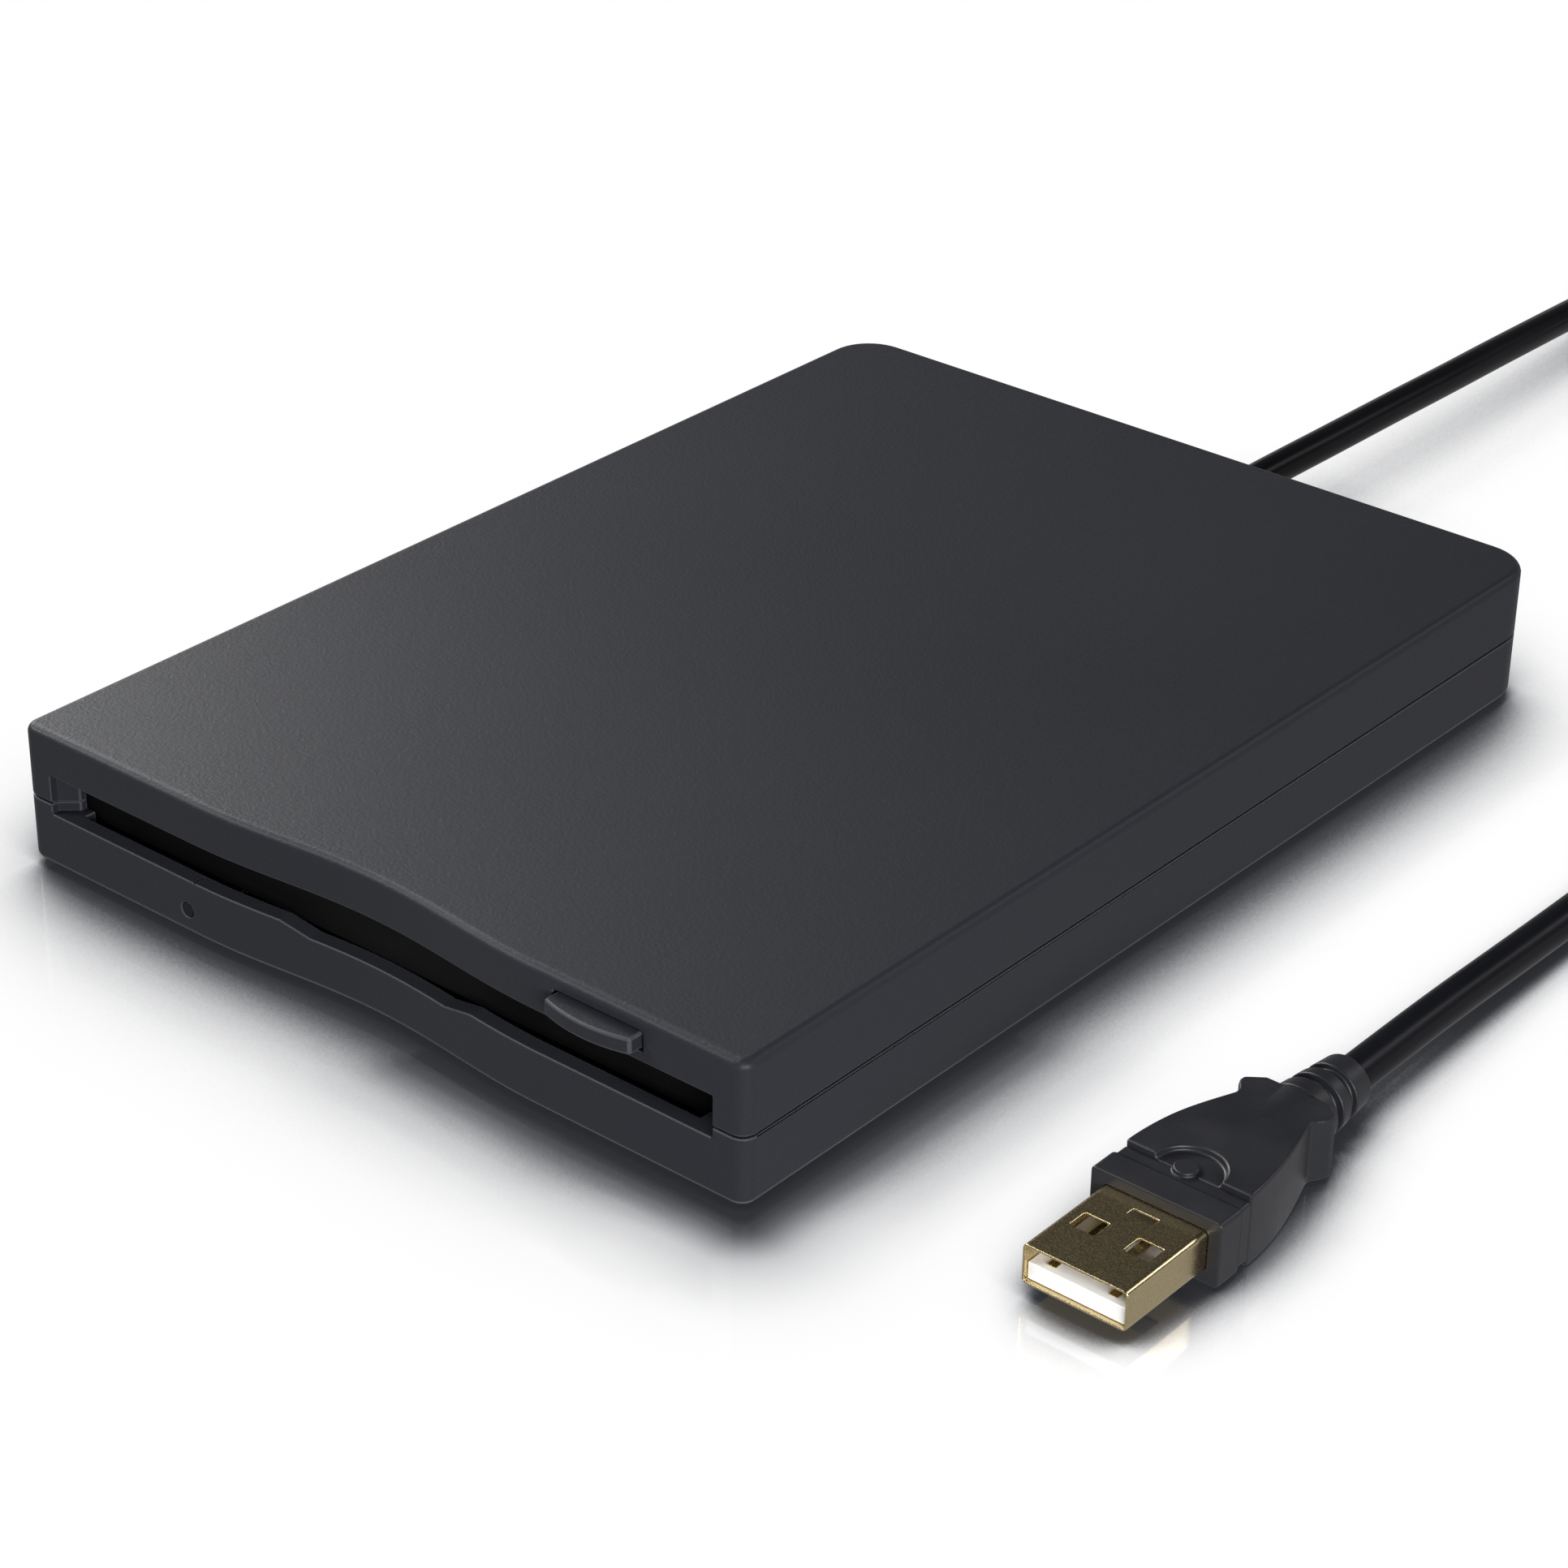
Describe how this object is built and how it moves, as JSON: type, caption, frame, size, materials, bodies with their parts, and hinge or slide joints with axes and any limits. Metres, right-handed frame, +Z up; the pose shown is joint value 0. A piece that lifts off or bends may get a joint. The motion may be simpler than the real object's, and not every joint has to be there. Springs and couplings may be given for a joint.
{
  "type": "external floppy disk drive",
  "caption": "Slim external floppy disk drive with a front disk slot and dust flap, eject button, activity light and a captive cable ending in a rectangular plug.",
  "frame": {"origin": "centre of the case's outline on the table the feet stand on, half way from the front of the eject button to the rear of the cable's strain relief's wall", "axes": "+X to the right seen from the front, +Y from the disk mouth to the cable outlet, +Z up"},
  "size_m": [0.144, 0.3293, 0.0175],
  "materials": {
    "case_plastic": "fine grained charcoal ABS",
    "flap_plastic": "black, fine grained",
    "lamp": "clear grey",
    "rubber": "matt black",
    "cable_rubber": "satin black",
    "steel": "zinc plated",
    "dark_steel": "zinc plated, dull",
    "spring_steel": "bright wire",
    "copper": "enamelled copper wire",
    "magnet": "sintered, dark",
    "bronze": "oil filled bronze",
    "nylon": "natural nylon",
    "black_plastic": "black moulding",
    "board": "green printed board",
    "chips": "black packages",
    "ribbon": "flat flexible cable",
    "cores": "coloured cores",
    "plug_gold": "gold plated, bright",
    "tongue": "white moulding"
  },
  "bodies": {
    "case": {"upper_shell": "case_plastic", "lower_shell": "case_plastic", "flap_spring": "spring_steel", "activity_light": "lamp", "rubber_feet": "rubber", "case_screws": "dark_steel", "chassis_frame": "steel", "chassis_screws": "steel", "drive_cover": "steel", "latch_post": "steel", "latch_spring": "spring_steel", "motor_board": "board", "motor_stator": "dark_steel", "motor_coils": "copper", "spindle_bearing": "bronze", "guide_rods": "steel", "stepper_motor": "dark_steel", "screw_bearing": "nylon", "track_zero_sensor": "black_plastic", "main_board": "board", "board_chips": "chips", "switch_board": "board", "usb_board": "board", "usb_chips": "chips", "board_screws": "steel", "ribbon_cable": "ribbon", "cable_wires": "cores", "cable_boot": "cable_rubber", "cable_rear": "cable_rubber", "cable_coil": "cable_rubber", "cable_front": "cable_rubber", "plug_relief": "cable_rubber", "plug_grip": "black_plastic", "plug_collar": "black_plastic", "plug_shell": "plug_gold", "plug_tongue": "tongue", "plug_contacts": "plug_gold"},
    "flap": {"dust_flap": "flap_plastic"},
    "slider": {"eject_slider": "dark_steel", "eject_button": "case_plastic", "slider_springs": "spring_steel"},
    "holder": {"disk_holder": "steel"},
    "latch": {"latch_lever": "nylon"},
    "spindle": {"motor_rotor": "steel", "rotor_magnet": "magnet", "spindle_shaft": "steel", "hub_chuck": "magnet", "drive_pin": "steel"},
    "carriage": {"head_carriage": "black_plastic", "lower_head": "nylon", "follower_pin": "steel", "arm_pin": "steel"},
    "arm": {"upper_head_arm": "nylon", "upper_head": "nylon", "arm_spring": "spring_steel"},
    "screw": {"lead_screw": "steel"},
    "protect": {"protect_plunger": "nylon"},
    "disk_in": {"disk_plunger": "nylon"},
    "density": {"density_plunger": "nylon"}
  },
  "joints": [
    {"name": "flap_hinge", "type": "hinge", "parent": "case", "child": "flap", "pos_m": [0, -0.067, 0.01275], "axis": [1, 0, 0], "range_deg": [0, 80], "stiffness_Nm_per_rad": 0.0004, "springref_deg": -20.05},
    {"name": "eject_slide", "type": "slide", "parent": "case", "child": "slider", "axis": [0, 1, 0], "range_m": [-0.0045, 0.0003]},
    {"name": "holder_drop", "type": "slide", "parent": "case", "child": "holder", "axis": [0, 0, 1], "range_m": [-0.002, 0.00014]},
    {"name": "latch_swing", "type": "hinge", "parent": "case", "child": "latch", "pos_m": [0.037, 0.0047, 0.013], "axis": [0, 0, 1], "range_deg": [-50, 3.4]},
    {"name": "spindle_spin", "type": "hinge", "parent": "case", "child": "spindle", "pos_m": [0, -0.0188, 0.005], "axis": [0, 0, 1], "continuous": true},
    {"name": "carriage_slide", "type": "slide", "parent": "case", "child": "carriage", "axis": [0, -1, 0], "range_m": [0, 0.01481]},
    {"name": "arm_hinge", "type": "hinge", "parent": "carriage", "child": "arm", "pos_m": [0, 0.0522, 0.0106], "axis": [1, 0, 0], "range_deg": [-0.62, 9.2]},
    {"name": "screw_spin", "type": "hinge", "parent": "case", "child": "screw", "pos_m": [0.02, 0.0387, 0.0087], "axis": [0, 1, 0], "range_deg": [0, 1422.5]},
    {"name": "protect_press", "type": "slide", "parent": "case", "child": "protect", "axis": [0, 0, -1], "range_m": [0, 0.0008], "stiffness_N_per_m": 120, "springref_m": -0.0006},
    {"name": "disk_in_press", "type": "slide", "parent": "case", "child": "disk_in", "axis": [0, 0, -1], "range_m": [0, 0.0008], "stiffness_N_per_m": 120, "springref_m": -0.0006},
    {"name": "density_press", "type": "slide", "parent": "case", "child": "density", "axis": [0, 0, -1], "range_m": [0, 0.0008], "stiffness_N_per_m": 120, "springref_m": -0.0006}
  ],
  "couplings": [
    {"joint": "holder_drop", "follows": "eject_slide", "ratio": 0.44444},
    {"joint": "latch_swing", "follows": "eject_slide", "rad_per_m": 193.92},
    {"joint": "arm_hinge", "follows": "eject_slide", "rad_per_m": -35.681},
    {"joint": "screw_spin", "follows": "carriage_slide", "rad_per_m": 1675.5}
  ]
}
